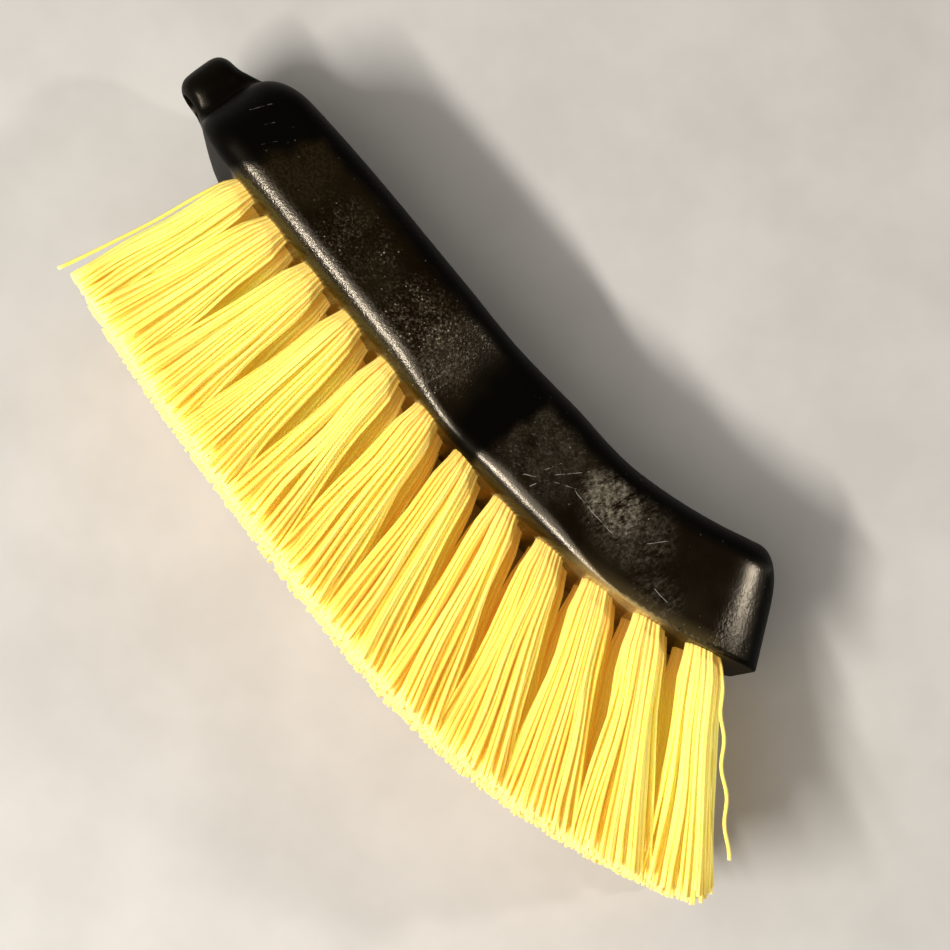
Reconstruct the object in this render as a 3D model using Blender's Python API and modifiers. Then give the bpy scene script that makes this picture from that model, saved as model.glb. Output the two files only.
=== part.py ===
"""Scrub brush, lying on its side: a moulded plastic block with a hang lug, and 48 splayed tufts of bristles.

The brush is modelled in a bench frame, in metres: +X runs from the hang lug to the toe, +Y from the bristles
to the block's back, and +Z across the block. The bench empty then turns it about X, so that it lies on the
drafted side of its block, with +Z up and the origin at the middle of the box that it fills.
"""
import math
import random

import bmesh
import bpy
from mathutils import Matrix, Vector

# Tufts
TUFTS_IN_ROW = 12
TUFT_PITCH = 0.0151            # along the underside, from tuft to tuft
ROWS = 4
ROW_SPACING = 0.0090
ROW_SHIFT = 0.0026             # every second row is drilled this much nearer to the toe
FIRST_TUFT_SHIFT = 0.0024      # the first tuft of each row stands this much nearer to the second
HOLE_DIAMETER = 0.0076
HOLE_DEPTH = 0.0120
TUFT_CLEARANCE = 0.0003        # between a tuft's root and its hole, all round and at the bottom
TRIM_HEEL = 0.0475             # free length of the bristles at the heel
TRIM_TOE = 0.0600
LEAN_HEEL = math.radians(-4.0)  # from the block's height axis, towards the toe
LEAN_TOE = math.radians(44.0)
LEAN_STEADY_SHARE = 0.75       # share of the lean that grows evenly from tuft to tuft
STRAND_RADIUS = 0.0006
STRAND_ROOT_SPACING = 0.0017
STRAND_LAYERS = (3, 4, 3)      # strands in each layer of a tuft, across the block
TIP_SCATTER = 0.0005
TIP_FLOOR_GAP = 0.0004         # between the outermost strands and the plane of the block's side

# Anchors: the metal blades that the tufts are folded over, at the bottom of the holes
ANCHOR_HEIGHT = 0.0024
ANCHOR_THICKNESS = 0.0006
ANCHOR_LENGTH = 0.0058

# Block
BLOCK_HEIGHT = 0.0287          # at the heel and grip, from the underside to the back
TOE_EXTRA_HEIGHT = 0.0022
SIDE_DRAFT = math.radians(7.0)  # the sides lean in towards the back
UNDERSIDE_MARGIN = 0.0005      # from the outer holes to the rounded lower edge
GRIP_EDGE_RADIUS = 0.0070      # rounded lower edge, at the grip
TOE_EDGE_RADIUS = 0.0010
EDGE_FADE_START = 0.1120
EDGE_FADE_LENGTH = 0.0300
BACK_EDGE_RADIUS = 0.0075
BACK_EASE_START = 0.0300       # towards the heel from here, the back comes down
BACK_EASE_RADIUS = 0.5500
BACK_SWELL = 0.0016            # the back is fuller past the waist
BACK_SWELL_PLACE = 0.0950
BACK_SWELL_REACH = 0.0330
WAIST_PLACE = 0.0810
WAIST_DEPTH = 0.0033
WAIST_REACH = 0.0230
STRAIGHT_LENGTH = 0.0927       # from the first tuft to where the underside starts to rise
ROCKER_RADIUS = 0.1640
TOE_MARGIN = 0.0143            # from the last tuft of an outer row to the toe's lower edge
TOE_CORNER_LENGTH = 0.0160     # in the plan view, along the block
TOE_CORNER_DEPTH = 0.0085      # and off each side
TOE_BACK_RADIUS = 0.0085       # in the side view
TOE_RAKE = math.radians(1.0)
HEEL_MARGIN = 0.0048           # from the first tuft to where the heel starts to round off
HEEL_LENGTH = 0.0170
HEEL_END_HEIGHT = 0.0139
HEEL_BACK_POWER = 0.7          # under 1, the back stays high nearer to the heel's end
HEEL_LIFT_RADIUS = 0.0370
HEEL_LAST_STATION = 0.97       # share of the heel's length where its small end face lies

# Hang lug
LUG_RADIUS = 0.0074
LUG_HEIGHT = 0.0154
LUG_EDGE_RADIUS = 0.0040
LUG_REACH = 0.0056             # from the heel's end to the lug's axis
LUG_MIDDLE = 0.0130            # height of the lug's middle above the underside
HANG_HOLE_DIAMETER = 0.0072
NECK_LUG_HALF_WIDTH = 0.0046
NECK_BLOCK_HALF_WIDTH = 0.0075
NECK_LENGTH = 0.0105           # from the lug's axis into the block
NECK_LUG_TOP = 0.0210
NECK_BLOCK_TOP = 0.0246
NECK_LUG_BOTTOM = 0.0055
NECK_BLOCK_BOTTOM = 0.0034
NECK_EDGE_RADIUS = 0.0012

# Facets
FILLET_STEPS = 4
HOLE_SIDES = 8
LUG_STEPS = 20
LUG_ARC_STEPS = 4
HANG_HOLE_SIDES = 16
STRAND_SIDES = 3
CUTTER_OVERRUN = 0.0020
STRAND_SEED = 11

# Sizes that follow from the ones above
ROW_EDGE = 0.5 * (ROWS - 1) * ROW_SPACING + 0.5 * HOLE_DIAMETER + UNDERSIDE_MARGIN
HALF_WIDTH = ROW_EDGE + GRIP_EDGE_RADIUS
HEEL_START = -HEEL_MARGIN
HEEL_END = HEEL_START - HEEL_LENGTH
TOE_END = (TUFTS_IN_ROW - 1) * TUFT_PITCH + TOE_MARGIN
LUG_X = HEEL_END - LUG_REACH


def clear_scene():
    for item in list(bpy.data.objects):
        bpy.data.objects.remove(item, do_unlink=True)


def make_material(name, colour, roughness, metallic=0.0):
    material = bpy.data.materials.new(name)
    material.use_nodes = True
    shader = material.node_tree.nodes["Principled BSDF"]
    shader.inputs["Base Color"].default_value = (*colour, 1.0)
    shader.inputs["Roughness"].default_value = roughness
    shader.inputs["Metallic"].default_value = metallic
    return material


def new_collection(name):
    collection = bpy.data.collections.new(name)
    bpy.context.scene.collection.children.link(collection)
    return collection


def object_from_bmesh(name, shape, collection, parent, material=None):
    mesh = bpy.data.meshes.new(name)
    shape.to_mesh(mesh)
    shape.free()
    if material:
        mesh.materials.append(material)
    item = bpy.data.objects.new(name, mesh)
    item.parent = parent
    collection.objects.link(item)
    return item


def make_guide(item):
    item.hide_render = True
    item.display_type = "WIRE"


def combine(item, other, operation):
    modifier = item.modifiers.new(other.name, "BOOLEAN")
    modifier.operation = operation
    modifier.solver = "EXACT"
    modifier.object = other


def smooth_step(value):
    share = min(1.0, max(0.0, value))
    return share * share * (3.0 - 2.0 * share)


# The block's side view

def rocker_angle(along):
    return max(0.0, along - STRAIGHT_LENGTH) / ROCKER_RADIUS


def underside_point(along):
    """The underside in the side view, at a distance along it from the first tuft."""
    angle = rocker_angle(along)
    flat = min(along, STRAIGHT_LENGTH)
    return Vector((flat + ROCKER_RADIUS * math.sin(angle), ROCKER_RADIUS * (1.0 - math.cos(angle))))


def heel_lift(along):
    reach = max(0.0, HEEL_START - along)
    return HEEL_LIFT_RADIUS - math.sqrt(HEEL_LIFT_RADIUS ** 2 - reach ** 2)


def heel_roundness(along):
    """One on the block's body, falling to nothing at the heel's end, as a quarter ellipse."""
    reach = max(0.0, HEEL_START - along) / HEEL_LENGTH
    return math.sqrt(max(0.0, 1.0 - reach ** 2))


def toe_drop(along, length, depth):
    """How much a corner rounded as a quarter ellipse takes off the width or the height at the toe."""
    reach = max(0.0, along - (TOE_END - length)) / length
    return depth * (1.0 - math.sqrt(max(0.0, 1.0 - reach ** 2)))


def block_height(along):
    """From the underside to the back: lower towards the heel, and fuller past the waist."""
    ease = max(0.0, BACK_EASE_START - along) ** 2 / (2.0 * BACK_EASE_RADIUS)
    reach = min(1.0, abs(along - BACK_SWELL_PLACE) / BACK_SWELL_REACH)
    swell = BACK_SWELL * 0.5 * (1.0 + math.cos(math.pi * reach))
    return BLOCK_HEIGHT - ease + swell


def section_line(along):
    """The lower and the upper end of the block's section, in the side view."""
    angle = rocker_angle(along)
    lower = underside_point(along)
    lower.y += heel_lift(along)
    share = angle / rocker_angle(TOE_END)
    top_angle = angle - TOE_RAKE * share ** 2
    height = block_height(along) + TOE_EXTRA_HEIGHT * share
    top_radius = ROCKER_RADIUS - height
    upper = Vector((min(along, STRAIGHT_LENGTH) + top_radius * math.sin(top_angle),
                    ROCKER_RADIUS - top_radius * math.cos(top_angle)))
    rounding = heel_roundness(along)
    if rounding < 1.0:
        upper.y = HEEL_END_HEIGHT + (block_height(along) - HEEL_END_HEIGHT) * rounding ** HEEL_BACK_POWER
    upper += (lower - upper).normalized() * toe_drop(along, TOE_BACK_RADIUS, TOE_BACK_RADIUS)
    return lower, upper


def plan_half_width(along):
    """Half the block's width at the level of the straight underside."""
    reach = min(1.0, abs(along - WAIST_PLACE) / WAIST_REACH)
    waist = WAIST_DEPTH * 0.5 * (1.0 + math.cos(math.pi * reach))
    return HALF_WIDTH - waist


def lower_edge_radius(along):
    room = plan_half_width(along) - ROW_EDGE
    fade = smooth_step((along - EDGE_FADE_START) / EDGE_FADE_LENGTH)
    return room + (TOE_EDGE_RADIUS - room) * fade


def side_reach(height, along):
    """Half the block's width at a height in the bench frame, on its drafted side."""
    rounding = heel_roundness(along)
    drafted = plan_half_width(along) - height * math.tan(SIDE_DRAFT)
    return drafted * rounding - toe_drop(along, TOE_CORNER_LENGTH, TOE_CORNER_DEPTH)


def section_ring(along):
    """The block's outline at one station: both rounded lower edges, both sides and both back edges."""
    lower, upper = section_line(along)
    rise = (upper - lower).length
    rounding = heel_roundness(along)
    wall = min(side_reach(lower.y, along), side_reach(upper.y, along))
    low_radius = min(lower_edge_radius(along) * rounding, 0.45 * rise, 0.8 * wall)
    back_radius = min(BACK_EDGE_RADIUS * rounding, 0.45 * rise, 0.8 * wall)
    half = []
    for step in range(FILLET_STEPS + 1):
        turn = 0.5 * math.pi * step / FILLET_STEPS
        half.append((low_radius * (1.0 - math.cos(turn)), low_radius * (1.0 - math.sin(turn))))
    for step in range(FILLET_STEPS + 1):
        turn = 0.5 * math.pi * step / FILLET_STEPS
        half.append((rise - back_radius * (1.0 - math.sin(turn)), back_radius * (1.0 - math.cos(turn))))
    near = []
    for climb, inset in half:
        place = lower.lerp(upper, climb / rise)
        near.append(Vector((place.x, place.y, side_reach(place.y, along) - inset)))
    far = [Vector((point.x, point.y, -point.z)) for point in reversed(near)]
    return near + far


def stations():
    """Places of the block's sections: close together where it curves, wide apart where it is straight."""
    heel = [HEEL_START - HEEL_LENGTH * HEEL_LAST_STATION * math.sin(0.5 * math.pi * step / 6)
            for step in range(6, 0, -1)]
    waist_start = WAIST_PLACE - WAIST_REACH
    waist = [waist_start + WAIST_REACH * 2.0 * step / 8 for step in range(9)]
    toe_start = TOE_END - TOE_CORNER_LENGTH
    gap = toe_start - waist[-1]
    rocker = [waist[-1] + gap * step / 11 for step in range(1, 11)]
    toe = [toe_start + TOE_CORNER_LENGTH * math.sin(0.5 * math.pi * step / 5) for step in range(6)]
    return heel + [HEEL_START] + waist + rocker + toe


def loft(rings):
    shape = bmesh.new()
    loops = [[shape.verts.new(point) for point in ring] for ring in rings]
    count = len(loops[0])
    for ring, following in zip(loops, loops[1:]):
        for index in range(count):
            after = (index + 1) % count
            shape.faces.new((ring[index], following[index], following[after], ring[after]))
    shape.faces.new(loops[0])
    shape.faces.new(loops[-1])
    bmesh.ops.recalc_face_normals(shape, faces=shape.faces)
    return shape


# The hang lug

def make_lug(collection, bench):
    """A turned barrel with rounded ends, its axis along the block's height."""
    flat_radius = LUG_RADIUS - LUG_EDGE_RADIUS
    flat_height = 0.5 * LUG_HEIGHT - LUG_EDGE_RADIUS
    outline = [Vector((0.0, 0.0, 0.5 * LUG_HEIGHT))]
    for end in (1, -1):
        for step in range(LUG_ARC_STEPS + 1):
            turn = 0.5 * math.pi * step / LUG_ARC_STEPS
            if end < 0:
                turn = 0.5 * math.pi - turn
            outline.append(Vector((flat_radius + LUG_EDGE_RADIUS * math.sin(turn), 0.0,
                                   end * (flat_height + LUG_EDGE_RADIUS * math.cos(turn)))))
    outline.append(Vector((0.0, 0.0, -0.5 * LUG_HEIGHT)))
    profile = bmesh.new()
    points = [profile.verts.new(point) for point in outline]
    for start, end in zip(points, points[1:]):
        profile.edges.new((start, end))
    lug = object_from_bmesh("lug_form", profile, collection, bench)
    lug.location = (LUG_X, LUG_MIDDLE, 0.0)
    lug.rotation_euler = (-0.5 * math.pi, 0.0, 0.0)
    turn = lug.modifiers.new("turn", "SCREW")
    turn.steps = LUG_STEPS
    turn.render_steps = LUG_STEPS
    turn.use_merge_vertices = True
    turn.merge_threshold = 0.00001
    make_guide(lug)
    return lug


def make_neck(collection, bench):
    """A wedge that joins the lug to the heel, wider and taller at the block."""
    shape = bmesh.new()
    bmesh.ops.create_cube(shape, size=1.0)
    for vert in shape.verts:
        at_block = vert.co.x > 0.0
        half_width = NECK_BLOCK_HALF_WIDTH if at_block else NECK_LUG_HALF_WIDTH
        top = NECK_BLOCK_TOP if at_block else NECK_LUG_TOP
        bottom = NECK_BLOCK_BOTTOM if at_block else NECK_LUG_BOTTOM
        height = top if vert.co.y > 0.0 else bottom
        vert.co = Vector((NECK_LENGTH if at_block else 0.0, height, math.copysign(half_width, vert.co.z)))
    neck = object_from_bmesh("neck_form", shape, collection, bench)
    neck.location = (LUG_X, 0.0, 0.0)
    rounding = neck.modifiers.new("rounding", "BEVEL")
    rounding.width = NECK_EDGE_RADIUS
    rounding.segments = 2
    rounding.limit_method = "NONE"
    make_guide(neck)
    return neck


def make_hang_hole(collection, bench):
    shape = bmesh.new()
    bmesh.ops.create_cone(shape, cap_ends=True, segments=HANG_HOLE_SIDES, radius1=0.5 * HANG_HOLE_DIAMETER,
                          radius2=0.5 * HANG_HOLE_DIAMETER, depth=LUG_HEIGHT + 2.0 * CUTTER_OVERRUN)
    cutter = object_from_bmesh("hang_hole", shape, collection, bench)
    cutter.location = (LUG_X, LUG_MIDDLE, 0.0)
    cutter.rotation_euler = (-0.5 * math.pi, 0.0, 0.0)
    make_guide(cutter)
    return cutter


# The tufts

def row_place(row):
    return (0.5 * (ROWS - 1) - row) * ROW_SPACING


def lean(tuft):
    """A tuft's lean towards the toe; tuft may be a fraction, for the strands between two tufts' middles."""
    share = tuft / (TUFTS_IN_ROW - 1)
    eased = LEAN_STEADY_SHARE * share + (1.0 - LEAN_STEADY_SHARE) * share * abs(share)
    return LEAN_HEEL + (LEAN_TOE - LEAN_HEEL) * eased


def tip_line(tuft):
    """The trimmed line of the bristle tips in the side view."""
    share = tuft / (TUFTS_IN_ROW - 1)
    trim = TRIM_HEEL + (TRIM_TOE - TRIM_HEEL) * share
    angle = lean(tuft)
    return underside_point(tuft * TUFT_PITCH) + trim * Vector((math.sin(angle), -math.cos(angle)))


def tip_half_width(height):
    """Half the width of the brush's field of tips: its outermost strands lie just inside the side's plane."""
    return HALF_WIDTH - height * math.tan(SIDE_DRAFT) - STRAND_RADIUS - TIP_FLOOR_GAP


def tip_point(tuft, across):
    """A point on the trimmed tips; across runs from -1 at the far side to 1 at the near side."""
    side_view = tip_line(tuft)
    return Vector((side_view.x, side_view.y, across * tip_half_width(side_view.y)))


def row_tuft(row, index):
    """A tuft's place along the underside, in units of the pitch."""
    shift = (row % 2) * ROW_SHIFT
    if index == 0:
        shift += FIRST_TUFT_SHIFT
    return index + shift / TUFT_PITCH


def across_share(row, layer):
    """The share of the tips' half width at which one layer of a row's strands ends."""
    layers = ROWS * len(STRAND_LAYERS)
    return 1.0 - 2.0 * (row * len(STRAND_LAYERS) + layer) / (layers - 1)


def tuft_frame(row, index):
    """The tuft's root frame: its origin in the hole's mouth, +Z along the tuft and +X towards the toe."""
    tuft = row_tuft(row, index)
    root_view = underside_point(tuft * TUFT_PITCH)
    root = Vector((root_view.x, root_view.y, row_place(row)))
    middle = tip_point(tuft, across_share(row, 0.5 * (len(STRAND_LAYERS) - 1)))
    forward = (middle - root).normalized()
    sideways = forward.cross(Vector((1.0, 0.0, 0.0))).normalized()
    along = sideways.cross(forward)
    frame = Matrix((along, sideways, forward)).transposed().to_4x4()
    frame.translation = root
    return frame


def add_rod(shape, start, end, radius, sides, turn=0.0):
    """A straight closed rod between two points."""
    run = end - start
    place = Matrix.Translation(0.5 * (start + end)) @ run.to_track_quat("Z", "Y").to_matrix().to_4x4()
    bmesh.ops.create_cone(shape, cap_ends=True, segments=sides, radius1=radius, radius2=radius,
                          depth=run.length, matrix=place @ Matrix.Rotation(turn, 4, "Z"))


def make_tuft_holes(collection, bench):
    shape = bmesh.new()
    for row in range(ROWS):
        for index in range(TUFTS_IN_ROW):
            frame = tuft_frame(row, index)
            add_rod(shape, frame @ Vector((0.0, 0.0, -HOLE_DEPTH)), frame @ Vector((0.0, 0.0, CUTTER_OVERRUN)),
                    0.5 * HOLE_DIAMETER, HOLE_SIDES)
    cutter = object_from_bmesh("tuft_holes", shape, collection, bench)
    make_guide(cutter)
    return cutter


def strand_ends(row, index, frame, scatter):
    """The root and the tip of each strand of a tuft: a fan that opens evenly, so no strands cross."""
    tuft = row_tuft(row, index)
    ends = []
    for layer, count in enumerate(STRAND_LAYERS):
        across = layer - 0.5 * (len(STRAND_LAYERS) - 1)
        for place in range(count):
            along = place - 0.5 * (count - 1)
            root = frame @ Vector((along * STRAND_ROOT_SPACING, -across * STRAND_ROOT_SPACING, 0.0))
            tip = tip_point(tuft + along / max(STRAND_LAYERS), across_share(row, layer))
            stretch = scatter.uniform(-TIP_SCATTER, TIP_SCATTER)
            tip += (tip - root).normalized() * stretch
            ends.append((root, tip))
    return ends


def make_tuft(row, index, collection, guides, bench, material, scatter):
    """One tuft: its root plug in the hole, the anchor blade under the plug, and its strands."""
    frame = tuft_frame(row, index)
    name = f"tuft_row{row + 1}_{index + 1:02d}"
    plug_bottom = ANCHOR_HEIGHT + TUFT_CLEARANCE - HOLE_DEPTH
    plug = bmesh.new()
    add_rod(plug, frame @ Vector((0.0, 0.0, plug_bottom)), frame @ Vector((0.0, 0.0, TUFT_CLEARANCE)),
            0.5 * HOLE_DIAMETER - TUFT_CLEARANCE, HOLE_SIDES)
    tuft = object_from_bmesh(name, plug, collection, bench, material)

    inner = bmesh.new()
    overlap = ANCHOR_THICKNESS
    blade_low = TUFT_CLEARANCE - HOLE_DEPTH
    blade_high = plug_bottom + overlap
    blade = Matrix.Translation((0.0, 0.0, 0.5 * (blade_low + blade_high))) @ Matrix.Diagonal(
        (ANCHOR_LENGTH, ANCHOR_THICKNESS, blade_high - blade_low, 1.0))
    bmesh.ops.create_cube(inner, size=1.0, matrix=frame @ blade)
    for root, tip in strand_ends(row, index, frame, scatter):
        sink = (root - tip).normalized() * 2.0 * STRAND_RADIUS
        add_rod(inner, root + sink, tip, STRAND_RADIUS, STRAND_SIDES, scatter.uniform(0.0, math.pi))
    strands = object_from_bmesh(f"strands_row{row + 1}_{index + 1:02d}", inner, guides, bench)
    make_guide(strands)
    combine(tuft, strands, "UNION")


def make_block(collection, guides, bench, material):
    shape = loft([section_ring(along) for along in stations()])
    block = object_from_bmesh("block", shape, collection, bench, material)
    combine(block, make_lug(guides, bench), "UNION")
    combine(block, make_neck(guides, bench), "UNION")
    combine(block, make_hang_hole(guides, bench), "DIFFERENCE")
    combine(block, make_tuft_holes(guides, bench), "DIFFERENCE")
    return block


def settle(bench, collection):
    """Turns the brush onto its side and moves the middle of its footprint to the origin."""
    bench.rotation_euler = (-SIDE_DRAFT, 0.0, 0.0)
    bpy.context.view_layer.update()
    graph = bpy.context.evaluated_depsgraph_get()
    corners = []
    for item in collection.objects:
        if item.type != "MESH":
            continue
        shown = item.evaluated_get(graph)
        mesh = shown.to_mesh()
        corners.extend(shown.matrix_world @ vert.co for vert in mesh.vertices)
        shown.to_mesh_clear()
    low = [min(corner[axis] for corner in corners) for axis in range(3)]
    high = [max(corner[axis] for corner in corners) for axis in range(3)]
    bench.location = (-0.5 * (low[0] + high[0]), -0.5 * (low[1] + high[1]), -low[2])


def main():
    clear_scene()
    parts = new_collection("scrub_brush")
    guides = new_collection("cutters_and_forms")
    bench = bpy.data.objects.new("bench", None)
    parts.objects.link(bench)
    black_plastic = make_material("black_plastic", (0.018, 0.017, 0.016), 0.38)
    yellow_bristle = make_material("yellow_bristle", (0.95, 0.68, 0.06), 0.45)
    make_block(parts, guides, bench, black_plastic)
    scatter = random.Random(STRAND_SEED)
    for row in range(ROWS):
        for index in range(TUFTS_IN_ROW):
            make_tuft(row, index, parts, guides, bench, yellow_bristle, scatter)
    settle(bench, parts)


main()
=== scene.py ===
"""Finish for the scrub brush: a fine block, 48 tufts of wavy bristles, materials, floor, lights and camera.

Shapes are worked out in the bench frame of the part's source, in metres. There +X runs from the hang lug
to the toe, +Y from the bristles to the block's back, and +Z across the block. BENCH then lays them in the
shared frame, where +X and +Y run nearly the same way and +Z points up from the side that the brush lies on.
"""
import math
import random

import bmesh
import bpy
from mathutils import Euler, Matrix, Vector, noise
from mathutils.bvhtree import BVHTree
from mathutils.kdtree import KDTree


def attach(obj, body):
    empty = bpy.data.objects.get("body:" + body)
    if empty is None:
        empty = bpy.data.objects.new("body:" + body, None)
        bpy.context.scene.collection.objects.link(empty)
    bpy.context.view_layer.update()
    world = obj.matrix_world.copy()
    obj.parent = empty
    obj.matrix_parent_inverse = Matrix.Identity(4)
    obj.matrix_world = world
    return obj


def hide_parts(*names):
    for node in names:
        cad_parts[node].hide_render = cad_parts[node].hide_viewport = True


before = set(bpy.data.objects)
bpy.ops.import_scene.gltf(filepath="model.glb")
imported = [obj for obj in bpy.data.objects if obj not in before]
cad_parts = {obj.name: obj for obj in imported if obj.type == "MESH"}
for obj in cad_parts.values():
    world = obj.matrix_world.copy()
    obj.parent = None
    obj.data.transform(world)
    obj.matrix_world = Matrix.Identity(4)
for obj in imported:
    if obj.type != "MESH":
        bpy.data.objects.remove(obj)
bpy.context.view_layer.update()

# Sizes repeated from the part's source
TUFTS_IN_ROW = 12
TUFT_PITCH = 0.0151
ROWS = 4
ROW_SPACING = 0.0090
ROW_SHIFT = 0.0026
FIRST_TUFT_SHIFT = 0.0024
HOLE_DIAMETER = 0.0076
HOLE_DEPTH = 0.0120
TRIM_HEEL = 0.0475
TRIM_TOE = 0.0600
LEAN_HEEL = math.radians(-4.0)
LEAN_TOE = math.radians(44.0)
LEAN_STEADY_SHARE = 0.75
TIP_MARGIN = 0.0010
ANCHOR_HEIGHT = 0.0024
ANCHOR_THICKNESS = 0.0006
ANCHOR_LENGTH = 0.0058
BLOCK_HEIGHT = 0.0287
TOE_EXTRA_HEIGHT = 0.0022
SIDE_DRAFT = math.radians(7.0)
UNDERSIDE_MARGIN = 0.0005
GRIP_EDGE_RADIUS = 0.0070
TOE_EDGE_RADIUS = 0.0010
EDGE_FADE_START = 0.1120
EDGE_FADE_LENGTH = 0.0300
BACK_EDGE_RADIUS = 0.0075
BACK_EASE_START = 0.0300
BACK_EASE_RADIUS = 0.5500
BACK_SWELL = 0.0016
BACK_SWELL_PLACE = 0.0950
BACK_SWELL_REACH = 0.0330
WAIST_PLACE = 0.0810
WAIST_DEPTH = 0.0033
WAIST_REACH = 0.0230
STRAIGHT_LENGTH = 0.0927
ROCKER_RADIUS = 0.1640
TOE_MARGIN = 0.0143
TOE_CORNER_LENGTH = 0.0160
TOE_CORNER_DEPTH = 0.0085
TOE_BACK_RADIUS = 0.0085
TOE_RAKE = math.radians(1.0)
HEEL_MARGIN = 0.0048
HEEL_LENGTH = 0.0170
HEEL_END_HEIGHT = 0.0139
HEEL_BACK_POWER = 0.7
HEEL_LIFT_RADIUS = 0.0370
HEEL_LAST_STATION = 0.995
EDGE_RISE_SHARE = 0.45  # an edge's radius is at most this share of the section's height
EDGE_WALL_SHARE = 0.8  # and of its half width
LUG_RADIUS = 0.0074
LUG_HEIGHT = 0.0154
LUG_EDGE_RADIUS = 0.0040
LUG_REACH = 0.0056
LUG_MIDDLE = 0.0130
HANG_HOLE_DIAMETER = 0.0072
NECK_LUG_HALF_WIDTH = 0.0046
NECK_BLOCK_HALF_WIDTH = 0.0075
NECK_LENGTH = 0.0105
NECK_LUG_TOP = 0.0210
NECK_BLOCK_TOP = 0.0246
NECK_LUG_BOTTOM = 0.0055
NECK_BLOCK_BOTTOM = 0.0034
NECK_EDGE_RADIUS = 0.0012

# Where the bench frame lies in the shared frame
BENCH = Matrix.Translation((-0.0903387, 0.0043584, 0.0246151)) @ Matrix.Rotation(-SIDE_DRAFT, 4, "X")

# Fineness of the block
STATION_STEPS = 200
FILLET_STEPS = 20
ROUND_SIDES = 28
VOXEL = 0.0007
BLEND_SMOOTHING = 14  # rounds of smoothing where the lug and its neck join the heel
BLEND_END = -HEEL_MARGIN - 0.6 * HEEL_LENGTH
BLEND_RETREAT = 0.0003  # each round of smoothing ends this much earlier
SETTLE_LENGTH = 0.0030  # past the blend the mesh settles on the body over this length
LUG_EDGE_STEPS = 8
NECK_EDGE_STEPS = 3
BORE_RINGS = 16
MERGE_DISTANCE = 0.000001
MOUTH_FLARE = 0.0009
SHARP_ANGLE = math.radians(50.0)

# Painted shade: where the moulding gets a matte, almost unreflecting black instead of its polish, in the
# shared frame
DOME_END = -0.0925  # x of the dome's end where y is DOME_END_HEIGHT, growing with y
DOME_END_HEIGHT = 0.0098
DOME_SLOPE = 0.32
DOME_FADE = 0.0050
NECK_END = -0.1100  # up to this x the lug and its neck keep a little polish, with less of the painted shade
NECK_FADE = 0.0030
NECK_SHADE_LIFT = 0.18
WAIST_SHADE_START = -0.0150  # x where the waist's painted shade starts, at the height given below, falling with y
WAIST_SHADE_START_FADE = 0.0100
WAIST_SHADE_END = 0.0008
WAIST_SHADE_END_FADE = 0.0032
WAIST_SHADE_HEIGHT = 0.0126
WAIST_SHADE_SLOPE = 0.33
BORDER_WANDER = 0.0022  # how far these borders wander, and how many times a metre
BORDER_WANDER_SCALE = 210.0
BACK_WANDER_SHARE = 0.4
BACK_SHADE_DEPTH = 0.0044  # below the back's line, and fading from there
BACK_SHADE_FADE = 0.0032
BACK_OPEN_X = 0.10  # its band opens at the toe's corner, by the normal's x and turn
BACK_OPEN_TURN = 0.25
BACK_OPEN_FADE = 0.25
END_X = 0.32  # the toe's end face, by the normal's x
END_X_FADE = 0.16
TOE_UNDER_START = 0.0760  # the toe's underside past the last tufts, by the normal's turn
TOE_UNDER_FADE = 0.0060
TOE_UNDER_TURN = 0.7
TOE_UNDER_TURN_FADE = 0.3
CORNER_START = 0.0550  # the toe's corner, by the normal's x, below the height given below: painted shade that fades the corner's highlight downwards
CORNER_START_FADE = 0.0100
CORNER_X = 0.05
CORNER_X_FADE = 0.12
CORNER_SHADE_START = 0.0380
CORNER_SHADE_FADE = 0.0130
CORNER_SHADE = 0.85

# Painted light: the pale ring round each tuft hole's mouth, and the pale strip along the lower edge of the
# toe half, stand for the bristles' yellow light bounced onto the block
RIM_WIDTH = 0.0016
UNDERSIDE_Y = -0.3  # a normal whose y is less than this belongs to the underside
EDGE_STRIP_START = 0.0300
EDGE_STRIP_FADE = 0.0200
EDGE_STRIP_TURN = 0.2
EDGE_STRIP_TURN_FADE = 0.4
EDGE_BOUNCE = 0.17  # the strip's painted bounce light on the side, and how far up it reaches
EDGE_BOUNCE_HEIGHT = 0.0050

# Bristles
STRANDS_IN_TUFT = 84
STRAND_RADIUS = 0.00049
STRAND_SIDES = 5
STRAND_STEPS = 10
LONE_STRAND_STEPS = 40
BUNDLE_RADIUS = 0.5 * HOLE_DIAMETER - STRAND_RADIUS
ROOT_DEPTH = 0.0050
ROOT_BULGE = 0.0008  # how much a tuft swells past its hole's mouth
LATE_OPENING = 0.50  # how much later than evenly the last tuft's fan opens
FAN_REACH = 0.60  # half a tuft's fan at its tips, in pitches
HEEL_FAN_SHARE = 0.30  # the first tuft opens only this share of its fan towards the heel
TOE_FAN_SHARE = 0.50  # and the last tuft towards the toe
FAN_ACROSS = 0.20  # half a row's fan across the brush, as a share of the tips' half width
TOE_TRIM_BACK = 0.0100  # the tips past the last tuft's middle are trimmed back by this much a pitch
ROW_FAN_GAIN = 0.05  # each row further from the upper side fans this many pitches wider
UNEVEN_HEEL = 0.0005  # how uneven the first tuft's tips are, and how much more so the last one's
UNEVEN_GAIN = 0.0006
SHORT_SHARE = 0.06  # share of the strands that are cut short, and by how much
SHORT_CUT = 0.0015
PLACE_JITTER = 0.06
LOCKS_IN_TUFT = 9
LOCK_RING = 0.72  # every lock but the middle one starts at this share of the root's radius
LOCK_JITTER = 0.25
LOCK_PULL = 0.22
LOCK_WANDER = 0.06  # how far a strand's tip wanders, and how far a loose strand's does
LOOSE_WANDER = 0.22
LOOSE_SHARE = 0.07  # share of the strands that wander out of their lock
STRAND_SEED = 23

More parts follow.
